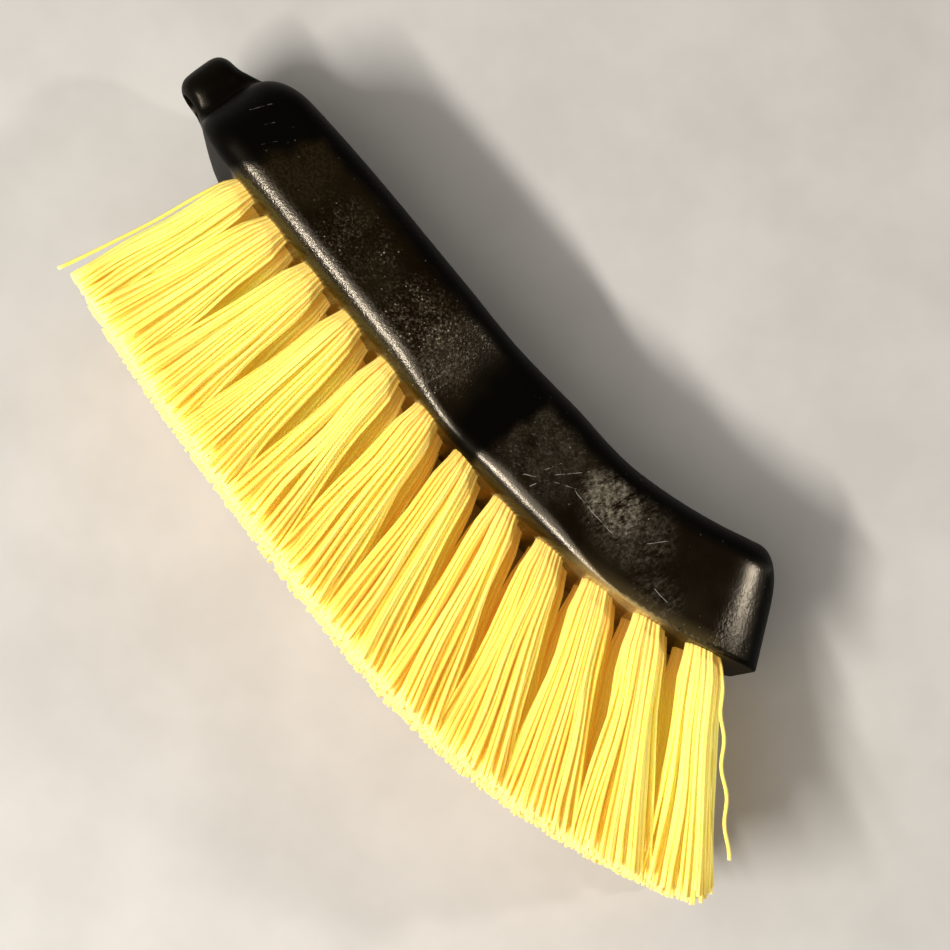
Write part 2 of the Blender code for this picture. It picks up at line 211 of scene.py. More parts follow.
# A strand's bend, by its length outside the hole: its tuft swells and narrows again, and its own wave grows
BULGE_RISE = 0.004
BULGE_END = 0.006
BULGE_FALL = 0.020
WAVE_FREE_LENGTH = 0.018
WAVE_LENGTHS = (0.030, 0.060)
WAVE_HEIGHTS = (0.00010, 0.00050)
WAVE_HEIGHT_SPREAD = (0.6, 1.3)
WAVE_START_SPREAD = 0.35
WAVE_ACROSS_SHARE = 0.6
WAVE_ACROSS_PACE = 0.8
OPENING_SPREAD = (-0.20, 0.10)
HEADING_STEP = 0.02  # a strand's heading is read this share of its length on each side
FLOOR_GAP = 0.0001

# A strand's tint: 0 is lemon and 1 is golden; part of it is painted shade
GOLDEN_TINT = 0.28  # most of it past the middle of the row
GOLDEN_POWER = 1.8
LOCK_TINT = 0.20
BETWEEN_SHADE_TINT = 0.45  # painted shade, deeper between two locks
BETWEEN_SHADE_WIDTH = 0.30
ROW_SHADE_TINT = 0.1  # painted shade for each row further from the upper side
TINT_JITTER = 0.05
LONE_TINT = 0.5

# Two strands that stand apart: row, tuft, place in the root, tip in the bench frame, wave length and height
LONE_STRANDS = (
    (0, 0, (-0.9, 0.3), (-0.0069, -0.0490, 0.0240), 0.0700, 0.00020),
    (0, 11, (0.9, 0.3), (0.2045, -0.0132, 0.0240), 0.0135, 0.00055))

# Sizes that follow from the ones above
ROW_EDGE = 0.5 * (ROWS - 1) * ROW_SPACING + 0.5 * HOLE_DIAMETER + UNDERSIDE_MARGIN
HALF_WIDTH = ROW_EDGE + GRIP_EDGE_RADIUS
HEEL_START = -HEEL_MARGIN
HEEL_END = HEEL_START - HEEL_LENGTH
TOE_END = (TUFTS_IN_ROW - 1) * TUFT_PITCH + TOE_MARGIN
LUG_X = HEEL_END - LUG_REACH
LUG_PLACE = Matrix.Translation((LUG_X, LUG_MIDDLE, 0.0)) @ Matrix.Rotation(0.5 * math.pi, 4, "X")
TUFTS = [(row, index) for row in range(ROWS) for index in range(TUFTS_IN_ROW)]


def mesh_object(name, shape):
    mesh = bpy.data.meshes.new(name)
    shape.to_mesh(mesh)
    shape.free()
    item = bpy.data.objects.new(name, mesh)
    bpy.context.scene.collection.objects.link(item)
    return item


def smooth_step(value):
    share = min(1.0, max(0.0, value))
    return share * share * (3.0 - 2.0 * share)


def rise(value, start, length):
    """Rises smoothly from 0 at the start to 1 a length later."""
    return smooth_step((value - start) / length)


# The block's side view and sections, as in the part's source

def rocker_angle(along):
    return max(0.0, along - STRAIGHT_LENGTH) / ROCKER_RADIUS


def underside_point(along):
    angle = rocker_angle(along)
    flat = min(along, STRAIGHT_LENGTH)
    return Vector((flat + ROCKER_RADIUS * math.sin(angle), ROCKER_RADIUS * (1.0 - math.cos(angle))))


def heel_lift(along):
    reach = max(0.0, HEEL_START - along)
    return HEEL_LIFT_RADIUS - math.sqrt(HEEL_LIFT_RADIUS ** 2 - reach ** 2)


def heel_roundness(along):
    reach = max(0.0, HEEL_START - along) / HEEL_LENGTH
    return math.sqrt(max(0.0, 1.0 - reach ** 2))


def toe_drop(along, length, depth):
    reach = max(0.0, along - (TOE_END - length)) / length
    return depth * (1.0 - math.sqrt(max(0.0, 1.0 - reach ** 2)))


def block_height(along):
    ease = max(0.0, BACK_EASE_START - along) ** 2 / (2.0 * BACK_EASE_RADIUS)
    reach = min(1.0, abs(along - BACK_SWELL_PLACE) / BACK_SWELL_REACH)
    swell = BACK_SWELL * 0.5 * (1.0 + math.cos(math.pi * reach))
    return BLOCK_HEIGHT - ease + swell


def section_line(along):
    """The lower and the upper end of the block's section, in the side view."""
    angle = rocker_angle(along)
    lower = underside_point(along)
    lower.y += heel_lift(along)
    share = angle / rocker_angle(TOE_END)
    top_angle = angle - TOE_RAKE * share ** 2
    height = block_height(along) + TOE_EXTRA_HEIGHT * share
    top_radius = ROCKER_RADIUS - height
    upper = Vector((min(along, STRAIGHT_LENGTH) + top_radius * math.sin(top_angle),
                    ROCKER_RADIUS - top_radius * math.cos(top_angle)))
    rounding = heel_roundness(along)
    if rounding < 1.0:
        upper.y = HEEL_END_HEIGHT + (block_height(along) - HEEL_END_HEIGHT) * rounding ** HEEL_BACK_POWER
    upper += (lower - upper).normalized() * toe_drop(along, TOE_BACK_RADIUS, TOE_BACK_RADIUS)
    return lower, upper


def plan_half_width(along):
    reach = min(1.0, abs(along - WAIST_PLACE) / WAIST_REACH)
    waist = WAIST_DEPTH * 0.5 * (1.0 + math.cos(math.pi * reach))
    return HALF_WIDTH - waist


def lower_edge_radius(along):
    room = plan_half_width(along) - ROW_EDGE
    fade = rise(along, EDGE_FADE_START, EDGE_FADE_LENGTH)
    return room + (TOE_EDGE_RADIUS - room) * fade


def side_reach(height, along):
    rounding = heel_roundness(along)
    drafted = plan_half_width(along) - height * math.tan(SIDE_DRAFT)
    return drafted * rounding - toe_drop(along, TOE_CORNER_LENGTH, TOE_CORNER_DEPTH)


def section_ring(along):
    """The block's outline at one station: both rounded lower edges, both sides and both back edges."""
    lower, upper = section_line(along)
    height = (upper - lower).length
    rounding = heel_roundness(along)
    wall = min(side_reach(lower.y, along), side_reach(upper.y, along))
    limit = min(EDGE_RISE_SHARE * height, EDGE_WALL_SHARE * wall)
    low_radius = min(lower_edge_radius(along) * rounding, limit)
    back_radius = min(BACK_EDGE_RADIUS * rounding, limit)
    half = []
    for step in range(FILLET_STEPS + 1):
        turn = 0.5 * math.pi * step / FILLET_STEPS
        half.append((low_radius * (1.0 - math.cos(turn)), low_radius * (1.0 - math.sin(turn))))
    for step in range(FILLET_STEPS + 1):
        turn = 0.5 * math.pi * step / FILLET_STEPS
        half.append((height - back_radius * (1.0 - math.sin(turn)), back_radius * (1.0 - math.cos(turn))))
    near = []
    for climb, inset in half:
        place = lower.lerp(upper, climb / height)
        near.append(Vector((place.x, place.y, side_reach(place.y, along) - inset)))
    far = [Vector((point.x, point.y, -point.z)) for point in reversed(near)]
    return near + far


def station_place(share):
    """Where a station lies: close together on the rounded heel and toe, evenly spread between them."""
    heel_share = 0.16
    toe_share = 0.10
    toe_start = TOE_END - TOE_CORNER_LENGTH
    if share < heel_share:
        turn = 0.5 * math.pi * (1.0 - share / heel_share)
        return HEEL_START - HEEL_LENGTH * HEEL_LAST_STATION * math.sin(turn)
    if share > 1.0 - toe_share:
        turn = 0.5 * math.pi * (share - 1.0 + toe_share) / toe_share
        return toe_start + TOE_CORNER_LENGTH * math.sin(turn)
    middle = (share - heel_share) / (1.0 - heel_share - toe_share)
    return HEEL_START + (toe_start - HEEL_START) * middle


# The block

def block_body():
    """A grid wrapped round the block's sections, with its seam merged and its two ends closed."""
    shape = bmesh.new()
    ring_steps = 4 * (FILLET_STEPS + 1)
    bmesh.ops.create_grid(shape, x_segments=STATION_STEPS, y_segments=ring_steps, size=0.5)
    rings = []
    for step in range(STATION_STEPS + 1):
        ring = section_ring(station_place(step / STATION_STEPS))
        rings.append(ring + ring[:1])
    for vert in shape.verts:
        station = round((vert.co.x + 0.5) * STATION_STEPS)
        place = round((vert.co.y + 0.5) * ring_steps)
        vert.co = rings[station][place]
    bmesh.ops.remove_doubles(shape, verts=shape.verts, dist=MERGE_DISTANCE)
    open_edges = [edge for edge in shape.edges if edge.is_boundary]
    bmesh.ops.holes_fill(shape, edges=open_edges)
    bmesh.ops.recalc_face_normals(shape, faces=shape.faces)
    return shape


def add_lug(shape):
    """The hang lug: a barrel with rounded ends, its axis along the block's height."""
    barrel = bmesh.ops.create_cone(shape, cap_ends=True, segments=2 * ROUND_SIDES, radius1=LUG_RADIUS,
                                   radius2=LUG_RADIUS, depth=LUG_HEIGHT, matrix=LUG_PLACE)
    rims = set()
    for vert in barrel["verts"]:
        for edge in vert.link_edges:
            if abs(edge.verts[0].co.y - edge.verts[1].co.y) < 0.5 * LUG_HEIGHT:
                rims.add(edge)
    bmesh.ops.bevel(shape, geom=list(rims), offset=LUG_EDGE_RADIUS, affect="EDGES", segments=LUG_EDGE_STEPS,
                    profile=0.5, material=-1)


def add_neck(shape):
    """The wedge that joins the lug to the heel, wider and taller at the block."""
    wedge = bmesh.ops.create_cube(shape, size=1.0)
    edges = set()
    for vert in wedge["verts"]:
        at_block = vert.co.x > 0.0
        half_width = NECK_BLOCK_HALF_WIDTH if at_block else NECK_LUG_HALF_WIDTH
        top = NECK_BLOCK_TOP if at_block else NECK_LUG_TOP
        bottom = NECK_BLOCK_BOTTOM if at_block else NECK_LUG_BOTTOM
        height = top if vert.co.y > 0.0 else bottom
        along = LUG_X + NECK_LENGTH if at_block else LUG_X
        vert.co = Vector((along, height, math.copysign(half_width, vert.co.z)))
        edges.update(vert.link_edges)
    bmesh.ops.bevel(shape, geom=list(edges), offset=NECK_EDGE_RADIUS, affect="EDGES",
                    segments=NECK_EDGE_STEPS, profile=0.5, material=-1)


def add_rod(shape, start, end, radius):
    run = end - start
    place = Matrix.Translation(0.5 * (start + end)) @ run.to_track_quat("Z", "Y").to_matrix().to_4x4()
    bmesh.ops.create_cone(shape, cap_ends=True, segments=ROUND_SIDES, radius1=radius, radius2=radius,
                          depth=run.length, matrix=place)


def tuft_hole_cutters():
    shape = bmesh.new()
    for row, index in TUFTS:
        root = tuft_frame(row, index)
        bottom = root @ Vector((0.0, 0.0, -HOLE_DEPTH))
        outside = root @ Vector((0.0, 0.0, 0.5 * HOLE_DEPTH))
        add_rod(shape, bottom, outside, 0.5 * HOLE_DIAMETER)
    return mesh_object("tuft_hole_cutters", shape)


def hang_hole_cutter():
    """The bore through the lug, opening out at both of its mouths."""
    reach = 0.5 * LUG_HEIGHT + MOUTH_FLARE
    radius = 0.5 * HANG_HOLE_DIAMETER
    flare_length = 3.0 * MOUTH_FLARE
    shape = bmesh.new()
    bmesh.ops.create_cone(shape, cap_ends=True, segments=2 * ROUND_SIDES, radius1=radius, radius2=radius,
                          depth=2.0 * reach)
    walls = [edge for edge in shape.edges if abs(edge.verts[0].co.z - edge.verts[1].co.z) > reach]
    bmesh.ops.subdivide_edges(shape, edges=walls, cuts=BORE_RINGS, use_grid_fill=False)
    for vert in shape.verts:
        opening = smooth_step((abs(vert.co.z) - reach + flare_length) / flare_length)
        widen = 1.0 + opening * MOUTH_FLARE / radius
        vert.co = Vector((vert.co.x * widen, vert.co.y * widen, vert.co.z))
    bmesh.ops.transform(shape, matrix=LUG_PLACE, verts=shape.verts)
    return mesh_object("hang_hole_cutter", shape)


def final_mesh(item):
    """The item's mesh with its modifiers applied."""
    graph = bpy.context.evaluated_depsgraph_get()
    return bpy.data.meshes.new_from_object(item.evaluated_get(graph))


def blend_lug(mesh, body_surface):
    """Smooths the lug's and the neck's joins with the heel, and lays the rest on the body's own surface."""
    shape = bmesh.new()
    shape.from_mesh(mesh)
    for step in range(BLEND_SMOOTHING):
        reach = BLEND_END - step * BLEND_RETREAT
        joins = [vert for vert in shape.verts if vert.co.x < reach]
        bmesh.ops.smooth_vert(shape, verts=joins, factor=0.5,
                              use_axis_x=True, use_axis_y=True, use_axis_z=True)
    for vert in shape.verts:
        nearest = body_surface.find_nearest(vert.co)[0]
        share = rise(vert.co.x, BLEND_END, SETTLE_LENGTH)
        vert.co = vert.co.lerp(nearest, share)
    shape.to_mesh(mesh)
    shape.free()


def side_view_place(place):
    """A place's distance along the underside and its height over it, in the side view."""
    bench = BENCH.inverted() @ place
    if bench.x < STRAIGHT_LENGTH:
        return bench.x, bench.y
    spoke = Vector((bench.x - STRAIGHT_LENGTH, ROCKER_RADIUS - bench.y))
    return STRAIGHT_LENGTH + ROCKER_RADIUS * math.atan2(spoke.x, spoke.y), ROCKER_RADIUS - spoke.length


def depth_below_back(place):
    """How far a place of the shared frame lies below the line of the block's back, in the side view."""
    along, height = side_view_place(place)
    share = rocker_angle(along) / rocker_angle(TOE_END)
    return block_height(along) + TOE_EXTRA_HEIGHT * share - height


def side_turn(normal):
    """The angle by which a normal is turned from the upper side's own, towards the back."""
    return math.atan2(normal.y, normal.z) - 2.0 * SIDE_DRAFT


def shade_dullness(place, normal):
    """Painted shade at a place: a matte, almost unreflecting black at the block's back, dome, waist and
    ends, and on the toe's corner to fade its highlight, glossy elsewhere.
    """
    turned = side_turn(normal)
    wander = BORDER_WANDER * noise.noise(place * BORDER_WANDER_SCALE)
    depth = depth_below_back(place) + BACK_WANDER_SHARE * wander
    back = 1.0 - rise(depth, BACK_SHADE_DEPTH, BACK_SHADE_FADE)
    opened = rise(normal.x, BACK_OPEN_X, BACK_OPEN_FADE)
    opened *= 1.0 - rise(turned, BACK_OPEN_TURN, BACK_OPEN_FADE)
    back *= 1.0 - opened
    along = place.x + wander
    dome_end = DOME_END + DOME_SLOPE * (place.y - DOME_END_HEIGHT)
    dome = 1.0 - rise(along, dome_end, DOME_FADE)
    dome -= NECK_SHADE_LIFT * (1.0 - rise(place.x, NECK_END, NECK_FADE))
    waist_start = WAIST_SHADE_START - WAIST_SHADE_SLOPE * (place.y - WAIST_SHADE_HEIGHT)
    waist = rise(along, waist_start, WAIST_SHADE_START_FADE)
    waist *= 1.0 - rise(along, WAIST_SHADE_END, WAIST_SHADE_END_FADE)
    end = rise(normal.x, END_X, END_X_FADE)
    under = rise(-turned, TOE_UNDER_TURN, TOE_UNDER_TURN_FADE)
    under *= rise(place.x, TOE_UNDER_START, TOE_UNDER_FADE)
    corner = rise(normal.x, CORNER_X, CORNER_X_FADE)
    corner *= rise(-place.y, -CORNER_SHADE_START, CORNER_SHADE_FADE)
    corner *= rise(place.x, CORNER_START, CORNER_START_FADE)
    return max(back, dome, waist, end, under, CORNER_SHADE * corner)


def rim_share(place, normal, mouths):
    """One at the mouth of a tuft hole and along the toe's lower edge, falling to nothing round them: where
    painted bounce light from the bristles lies.
    """
    height = side_view_place(place)[1]
    bounce_border = EDGE_BOUNCE * (1.0 - smooth_step(height / EDGE_BOUNCE_HEIGHT))
    strip = max(bounce_border, rise(-side_turn(normal), EDGE_STRIP_TURN, EDGE_STRIP_TURN_FADE))
    strip *= rise(place.x, EDGE_STRIP_START, EDGE_STRIP_FADE)
    strip *= 1.0 - rise(place.x, TOE_UNDER_START, TOE_UNDER_FADE)
    if normal.y > UNDERSIDE_Y:
        return strip
    distance = mouths.find(place)[2]
    return max(strip, 1.0 - rise(distance, 0.5 * HOLE_DIAMETER, RIM_WIDTH))


def hole_mouths():
    """The middles of the tuft holes' mouths in the shared frame, for finding the nearest one."""
    mouths = KDTree(len(TUFTS))
    for number, (row, index) in enumerate(TUFTS):
        mouths.insert(BENCH @ tuft_frame(row, index).translation, number)
    mouths.balance()
    return mouths


def store_finish(mesh):
    """Stores how dull the moulding is at each point, which is painted shade, and where the pale rims of the
    tuft holes lie, which with the toe's edge strip are painted bounce light from the bristles.
    """
    dull = mesh.attributes.new("dull", "FLOAT", "POINT")
    dull.data.foreach_set("value", [shade_dullness(vert.co, vert.normal) for vert in mesh.vertices])
    mouths = hole_mouths()
    rim = mesh.attributes.new("rim", "FLOAT", "POINT")
    rim.data.foreach_set("value", [rim_share(vert.co, vert.normal, mouths) for vert in mesh.vertices])


def make_block():
    shape = block_body()
    body_surface = BVHTree.FromBMesh(shape)
    add_lug(shape)
    add_neck(shape)
    solid = mesh_object("block_form", shape)
    fuse = solid.modifiers.new("fuse", "REMESH")
    fuse.mode = "VOXEL"
    fuse.voxel_size = VOXEL
    fused = final_mesh(solid)
    blend_lug(fused, body_surface)
    solid.modifiers.clear()
    solid.data = fused
    cutters = [hang_hole_cutter(), tuft_hole_cutters()]
    for cutter in cutters:
        cut = solid.modifiers.new(cutter.name, "BOOLEAN")
        cut.operation = "DIFFERENCE"
        cut.solver = "EXACT"
        cut.object = cutter
    mesh = final_mesh(solid)
    for item in cutters + [solid]:
        bpy.data.objects.remove(item, do_unlink=True)
    mesh.transform(BENCH)
    mesh.polygons.foreach_set("use_smooth", [True] * len(mesh.polygons))
    mesh.set_sharp_from_angle(angle=SHARP_ANGLE)
    store_finish(mesh)
    mesh.name = "moulded_block"
    block = bpy.data.objects.new("moulded_block", mesh)
    bpy.context.scene.collection.objects.link(block)
    return block


# The tufts

def row_place(row):
    return (0.5 * (ROWS - 1) - row) * ROW_SPACING


def lean(tuft):
    share = tuft / (TUFTS_IN_ROW - 1)
    eased = LEAN_STEADY_SHARE * share + (1.0 - LEAN_STEADY_SHARE) * share * abs(share)
    return LEAN_HEEL + (LEAN_TOE - LEAN_HEEL) * eased


def tip_line(tuft):
    """The trimmed line of the bristle tips in the side view."""
    share = tuft / (TUFTS_IN_ROW - 1)
    trim = TRIM_HEEL + (TRIM_TOE - TRIM_HEEL) * share
    angle = lean(tuft)
    return underside_point(tuft * TUFT_PITCH) + trim * Vector((math.sin(angle), -math.cos(angle)))


def tip_point(tuft, across):
    side_view = tip_line(tuft)
    half_width = HALF_WIDTH - side_view.y * math.tan(SIDE_DRAFT) - TIP_MARGIN
    return Vector((side_view.x, side_view.y, across * half_width))


def row_tuft(row, index):
    """A tuft's place along the underside, in units of the pitch."""
    shift = (row % 2) * ROW_SHIFT
    if index == 0:
        shift += FIRST_TUFT_SHIFT
    return index + shift / TUFT_PITCH


def row_across(row):
    """Where a row's tips lie, as a share of their half width: the outer rows a third of a spacing in."""
    return 1.0 - (6.0 * row + 2.0) / (3.0 * ROWS - 1.0)


def tuft_frame(row, index):
    """The tuft's root frame: its origin in the hole's mouth, +Z along the tuft and +X towards the toe."""
    tuft = row_tuft(row, index)
    root_view = underside_point(tuft * TUFT_PITCH)
    root = Vector((root_view.x, root_view.y, row_place(row)))
    forward = (tip_point(tuft, row_across(row)) - root).normalized()
    sideways = forward.cross(Vector((1.0, 0.0, 0.0))).normalized()
    along = sideways.cross(forward)
    place = Matrix((along, sideways, forward)).transposed().to_4x4()
    place.translation = root
    return place


def strand_form(steps):
    """One straight strand, one metre long and one metre in radius, that every bristle is bent from."""
    shape = bmesh.new()
    bmesh.ops.create_cone(shape, cap_ends=True, segments=STRAND_SIDES, radius1=1.0, radius2=1.0, depth=1.0,
                          matrix=Matrix.Translation((0.0, 0.0, 0.5)))
    rails = [edge for edge in shape.edges if abs(edge.verts[0].co.z - edge.verts[1].co.z) > 0.5]
    bmesh.ops.subdivide_edges(shape, edges=rails, cuts=steps - 1, use_grid_fill=False)
    mesh = bpy.data.meshes.new("strand_form")
    shape.to_mesh(mesh)
    shape.free()
    return mesh


def jitter(reach, chance):
    return Vector((chance.uniform(-reach, reach), chance.uniform(-reach, reach)))


def disc_places(count, chance):
    """Places spread evenly over a disc of radius one, a little unevenly."""
    golden_angle = math.pi * (3.0 - math.sqrt(5.0))
    places = []
    for index in range(count):
        reach = math.sqrt((index + 0.5) / count)
        turn = index * golden_angle
        place = Vector((reach * math.cos(turn), reach * math.sin(turn)))
        places.append(place + jitter(PLACE_JITTER, chance))
    return places


class Lock:
    """A few strands of a tuft that cling together and share their wave."""

    def __init__(self, middle, wave_length, wave_height, chance):
        self.middle = middle
        self.wave_length = wave_length
        self.wave_height = wave_height
        self.start_along = chance.uniform(0.0, 2.0 * math.pi)
        self.start_across = chance.uniform(0.0, 2.0 * math.pi)
        self.tint = chance.uniform(0.0, LOCK_TINT)


def tuft_locks(chance):
    locks = []
    for number in range(LOCKS_IN_TUFT):
        turn = 2.0 * math.pi * (number + chance.uniform(-LOCK_JITTER, LOCK_JITTER)) / (LOCKS_IN_TUFT - 1)
        reach = 0.0 if number == LOCKS_IN_TUFT - 1 else LOCK_RING
        middle = Vector((reach * math.cos(turn), reach * math.sin(turn)))
        locks.append(Lock(middle, chance.uniform(*WAVE_LENGTHS), chance.uniform(*WAVE_HEIGHTS), chance))
    return locks


def strand_tip(row, index, place, lock, wander, chance):
    """Where a bristle ends on the trimmed tips: its place in the tuft's fan, drawn in towards its lock."""
    spread = place.lerp(lock.middle, LOCK_PULL) + jitter(wander, chance)
    reach = FAN_REACH + ROW_FAN_GAIN * row
    if index == 0 and spread.x < 0.0:
        reach *= HEEL_FAN_SHARE
    if index == TUFTS_IN_ROW - 1 and spread.x > 0.0:
        reach *= TOE_FAN_SHARE
    across = min(1.0, max(-1.0, row_across(row) + FAN_ACROSS * spread.y))
    tuft = row_tuft(row, index) + spread.x * reach
    past_last = max(0.0, tuft - (TUFTS_IN_ROW - 1))
    shorter = Vector((-math.sin(lean(tuft)), math.cos(lean(tuft)), 0.0)) * TOE_TRIM_BACK * past_last
    return tip_point(tuft, across) + shorter


class Strand:
    """The bent path of one bristle, from inside its hole to its tip."""

    def __init__(self, root_frame, place, tip, lock, tint, late, chance):
        self.along = root_frame.to_3x3().col[0]
        self.across = root_frame.to_3x3().col[1]
        self.forward = root_frame.to_3x3().col[2]
        self.lock = lock
        self.root = root_frame @ Vector((place.x * BUNDLE_RADIUS, place.y * BUNDLE_RADIUS, -ROOT_DEPTH))
        self.bulge = (self.along * place.x + self.across * place.y) * ROOT_BULGE
        self.tip = tip
        self.length = (self.tip - self.root).length
        self.wave_height = lock.wave_height * chance.uniform(*WAVE_HEIGHT_SPREAD)
        self.own_start = chance.uniform(-WAVE_START_SPREAD, WAVE_START_SPREAD)
        self.ease = chance.uniform(*OPENING_SPREAD) + late
        self.tint = min(1.0, max(0.0, tint))

    def point(self, share):
        """The bristle's middle at a share of its length: straight in the hole, then fanning and waving."""
        run = self.tip - self.root
        forward_run = self.forward * run.dot(self.forward)
        side_run = run - forward_run
        opened = share * (1.0 - self.ease) + share * share * self.ease
        outside = share * self.length - ROOT_DEPTH
        loose = smooth_step(outside / WAVE_FREE_LENGTH)
        bulged = smooth_step(outside / BULGE_RISE) * (1.0 - rise(outside, BULGE_END, BULGE_FALL))
        swing = 2.0 * math.pi * share * self.length / self.lock.wave_length + self.own_start
        wave = self.along * math.sin(swing + self.lock.start_along)
        across_swing = WAVE_ACROSS_PACE * swing + self.lock.start_across
        wave += self.across * WAVE_ACROSS_SHARE * math.sin(across_swing)
        straight = self.root + forward_run * share + side_run * opened
        return straight + self.bulge * bulged + wave * self.wave_height * loose


def tuft_strands(row, index, chance):
    """The strands of one tuft. The ones between two locks have a deeper tint, which is painted shade, and
    so do the rows further from the upper side.
    """
    root_frame = tuft_frame(row, index)
    forward = root_frame.to_3x3().col[2]
    share = index / (TUFTS_IN_ROW - 1)
    uneven = UNEVEN_HEEL + UNEVEN_GAIN * row_tuft(row, index) / TUFTS_IN_ROW
    golden = GOLDEN_TINT * math.sin(math.pi * share ** GOLDEN_POWER)
    late = LATE_OPENING * smooth_step(share)
    locks = tuft_locks(chance)
    strands = []
    for place in disc_places(STRANDS_IN_TUFT, chance):
        nearest, second = sorted(locks, key=lambda each: (each.middle - place).length)[:2]
        nearer = (second.middle - place).length - (nearest.middle - place).length
        between = 1.0 - min(1.0, nearer / BETWEEN_SHADE_WIDTH)
        wander = LOOSE_WANDER if chance.random() < LOOSE_SHARE else LOCK_WANDER
        tip = strand_tip(row, index, place, nearest, wander, chance)
        short = SHORT_CUT if chance.random() < SHORT_SHARE else 0.0
        tip += forward * (chance.uniform(-uneven, uneven) - short)
        # painted shade: a deeper tint between locks and in the rows further from the upper side
        tint = golden + nearest.tint + BETWEEN_SHADE_TINT * between + ROW_SHADE_TINT * row
        tint += chance.uniform(-TINT_JITTER, TINT_JITTER)
        strands.append(Strand(root_frame, place, tip, nearest, tint, late, chance))
    return strands


def lone_strands(row, index, chance):
    """The strands of a tuft that stand apart from it."""
    strands = []
    for strand_row, strand_index, place, tip, wave_length, wave_height in LONE_STRANDS:
        if (strand_row, strand_index) == (row, index):
            place = Vector(place)
            lock = Lock(place, wave_length, wave_height, chance)
            strands.append(Strand(tuft_frame(row, index), place, Vector(tip), lock, LONE_TINT, 0.0, chance))
    return strands


def floor_height(point):
    return (BENCH @ point).z


def add_strand(shape, form, steps, strand):
    """Bends a copy of the straight strand along its path."""
    along_layer = shape.verts.layers.float["along"]
    tint_layer = shape.verts.layers.float["tint"]
    places = []
    for step in range(steps + 1):
        share = step / steps
        point = strand.point(share)
        ahead = strand.point(min(1.0, share + HEADING_STEP))
        behind = strand.point(max(0.0, share - HEADING_STEP))
        turned = (ahead - behind).to_track_quat("Z", "Y").to_matrix().to_4x4()
        room = floor_height(point) - STRAND_RADIUS - FLOOR_GAP
        if room < 0.0:
            point += BENCH.to_3x3().inverted() @ Vector((0.0, 0.0, -room))
        places.append(Matrix.Translation(point) @ turned @ Matrix.Scale(STRAND_RADIUS, 4))
    first = len(shape.verts)
    shape.from_mesh(form)
    shape.verts.ensure_lookup_table()
    for vert in shape.verts[first:]:
        step = round(vert.co.z * steps)
        vert[along_layer] = vert.co.z
        vert[tint_layer] = strand.tint
        vert.co = places[step] @ Vector((vert.co.x, vert.co.y, 0.0))


def add_anchor(shape, row, index):
    """The metal blade that the strands are folded over, at the bottom of the hole."""
    middle = Matrix.Translation((0.0, 0.0, 0.5 * ANCHOR_HEIGHT - HOLE_DEPTH))
    size = Matrix.Diagonal((ANCHOR_LENGTH, ANCHOR_THICKNESS, ANCHOR_HEIGHT, 1.0))
    blade = bmesh.ops.create_cube(shape, size=1.0, matrix=tuft_frame(row, index) @ middle @ size)
    for vert in blade["verts"]:
        for face in vert.link_faces:
            face.material_index = 1


def make_tuft(row, index, form, fine_form, materials, chance):
    shape = bmesh.new()
    shape.verts.layers.float.new("along")
    shape.verts.layers.float.new("tint")
    for strand in tuft_strands(row, index, chance):
        add_strand(shape, form, STRAND_STEPS, strand)
    for strand in lone_strands(row, index, chance):
        add_strand(shape, fine_form, LONE_STRAND_STEPS, strand)
    add_anchor(shape, row, index)
    bmesh.ops.transform(shape, matrix=BENCH, verts=shape.verts)
    for face in shape.faces:
        face.smooth = len(face.verts) == 4 and face.material_index == 0
    name = f"bristles_row{row + 1}_{index + 1:02d}"
    tuft = mesh_object(name, shape)
    for material in materials:
        tuft.data.materials.append(material)
    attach(tuft, "root")
    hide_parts(f"tuft_row{row + 1}_{index + 1:02d}")


def make_tufts(materials):
    form = strand_form(STRAND_STEPS)
    fine_form = strand_form(LONE_STRAND_STEPS)
    chance = random.Random(STRAND_SEED)
    for row, index in TUFTS:
        make_tuft(row, index, form, fine_form, materials, chance)


# Materials

class Value:
    """A socket's value, on which sums add Math nodes."""

    def __init__(self, surface, socket):
        self.surface = surface
        self.socket = socket

    def sum(self, operation, *terms, clamp=False):
        return self.surface.node("ShaderNodeMath", {"operation": operation, "use_clamp": clamp},
                                 dict(enumerate(terms)))

    def __add__(self, other):
        return self.sum("ADD", self, other)

    __radd__ = __add__

    def __sub__(self, other):
        return self.sum("SUBTRACT", self, other)

    def __rsub__(self, other):
        return self.sum("SUBTRACT", other, self)

    def __mul__(self, other):
        return self.sum("MULTIPLY", self, other)

    __rmul__ = __mul__

    def __truediv__(self, other):
        return self.sum("DIVIDE", self, other)

    def __abs__(self):
        return self.sum("ABSOLUTE", self)

    def clamped(self):
        return self.sum("ADD", self, 0.0, clamp=True)

    def larger(self, other):
        return self.sum("MAXIMUM", self, other)

    def step(self, start, end):
        """Rises smoothly from 0 at start to 1 at end."""
        return self.surface.node("ShaderNodeMapRange", {"interpolation_type": "SMOOTHSTEP"},
                                 {"Value": self, "From Min": start, "From Max": end})


